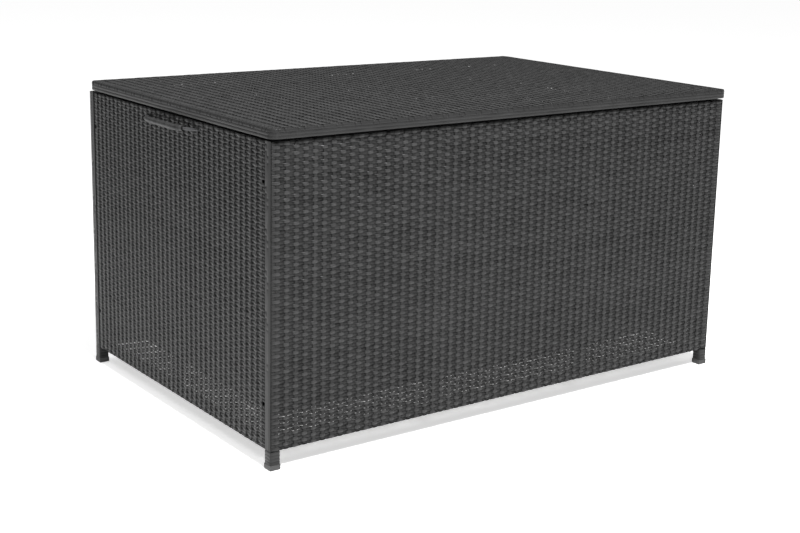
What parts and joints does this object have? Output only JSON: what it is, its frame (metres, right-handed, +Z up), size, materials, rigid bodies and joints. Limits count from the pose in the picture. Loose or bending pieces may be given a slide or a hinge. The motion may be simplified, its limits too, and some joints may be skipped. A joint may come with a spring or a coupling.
{
  "type": "deck storage box",
  "caption": "Woven resin deck storage box on a welded tube frame, with a hinged lid on gas struts, a fabric liner, side handles and short legs.",
  "frame": {"origin": "on the floor under the middle of the whole box, lid included", "axes": "+X to the right along the width, +Y from the front to the back, +Z up"},
  "size_m": [1.526, 0.97, 0.8],
  "materials": {
    "wicker": "woven charcoal resin strand, satin with fine lengthwise grain",
    "handle_strand": "charcoal resin strand wound on the grip",
    "frame_paint": "black powder coat",
    "bracket_paint": "black powder coat",
    "foot_plastic": "black moulded plastic",
    "slat_board": "dark grey composite board",
    "liner_fabric": "black coated polyester",
    "strap_webbing": "black webbing",
    "rubber": "black rubber",
    "hinge_steel": "black zinc",
    "strut_paint": "gloss black paint",
    "rod_chrome": "polished",
    "gland_plastic": "black plastic",
    "fastener_steel": "zinc plated"
  },
  "bodies": {
    "box": {"back_frame": "frame_paint", "back_weave": "wicker", "corner_bolts": "fastener_steel", "corner_washers": "fastener_steel", "floor_bracket_screws": "fastener_steel", "floor_brackets": "bracket_paint", "floor_frame": "frame_paint", "floor_slats": "slat_board", "foot_caps": "foot_plastic", "front_frame": "frame_paint", "front_weave": "wicker", "hinge_body_screws": "fastener_steel", "hinge_left_body_leaf": "hinge_steel", "hinge_left_pin": "hinge_steel", "hinge_middle_body_leaf": "hinge_steel", "hinge_middle_pin": "hinge_steel", "hinge_right_body_leaf": "hinge_steel", "hinge_right_pin": "hinge_steel", "left_frame": "frame_paint", "left_handle_bar": "frame_paint", "left_handle_wrap": "handle_strand", "left_weave": "wicker", "lid_buffers": "rubber", "liner": "liner_fabric", "liner_snaps": "fastener_steel", "liner_straps": "strap_webbing", "right_frame": "frame_paint", "right_handle_bar": "frame_paint", "right_handle_wrap": "handle_strand", "right_weave": "wicker", "rivet_nuts": "fastener_steel", "strut_body_screws": "fastener_steel", "strut_left_body_bracket": "bracket_paint", "strut_left_body_pin": "fastener_steel", "strut_right_body_bracket": "bracket_paint", "strut_right_body_pin": "fastener_steel"},
    "lid": {"lid_frame": "frame_paint", "lid_weave": "wicker", "hinge_left_lid_leaf": "hinge_steel", "hinge_middle_lid_leaf": "hinge_steel", "hinge_right_lid_leaf": "hinge_steel", "hinge_lid_screws": "fastener_steel", "strut_left_lid_bracket": "bracket_paint", "strut_right_lid_bracket": "bracket_paint", "strut_lid_screws": "fastener_steel"},
    "strut_left_tube_side": {"strut_left_cylinder": "strut_paint", "strut_left_body_eye": "strut_paint", "strut_left_gland": "gland_plastic"},
    "strut_left_rod_side": {"strut_left_rod": "rod_chrome", "strut_left_piston": "gland_plastic", "strut_left_lid_eye": "strut_paint", "strut_left_lid_pin": "fastener_steel"},
    "strut_right_tube_side": {"strut_right_cylinder": "strut_paint", "strut_right_body_eye": "strut_paint", "strut_right_gland": "gland_plastic"},
    "strut_right_rod_side": {"strut_right_rod": "rod_chrome", "strut_right_piston": "gland_plastic", "strut_right_lid_eye": "strut_paint", "strut_right_lid_pin": "fastener_steel"}
  },
  "joints": [
    {"name": "lid_hinge", "type": "hinge", "parent": "box", "child": "lid", "pos_m": [0, 0.4805, 0.7755], "axis": [-1, 0, 0], "range_deg": [0, 75]},
    {"name": "strut_left_swing", "type": "hinge", "parent": "box", "child": "strut_left_tube_side", "pos_m": [-0.69, 0.446, 0.722], "axis": [-1, 0, 0], "range_deg": [0, 71.39]},
    {"name": "strut_left_slide", "type": "slide", "parent": "strut_left_tube_side", "child": "strut_left_rod_side", "axis": [0, -0.9871, 0.16], "range_m": [0, 0.07584]},
    {"name": "strut_right_swing", "type": "hinge", "parent": "box", "child": "strut_right_tube_side", "pos_m": [0.69, 0.446, 0.722], "axis": [-1, 0, 0], "range_deg": [0, 71.39]},
    {"name": "strut_right_slide", "type": "slide", "parent": "strut_right_tube_side", "child": "strut_right_rod_side", "axis": [0, -0.9871, 0.16], "range_m": [0, 0.07584]}
  ],
  "couplings": [
    {"joint": "strut_left_swing", "follows": "lid_hinge", "ratio": 0.95173},
    {"joint": "strut_left_slide", "follows": "lid_hinge", "m_per_rad": 0.057929},
    {"joint": "strut_right_swing", "follows": "lid_hinge", "ratio": 0.95173},
    {"joint": "strut_right_slide", "follows": "lid_hinge", "m_per_rad": 0.057929}
  ]
}
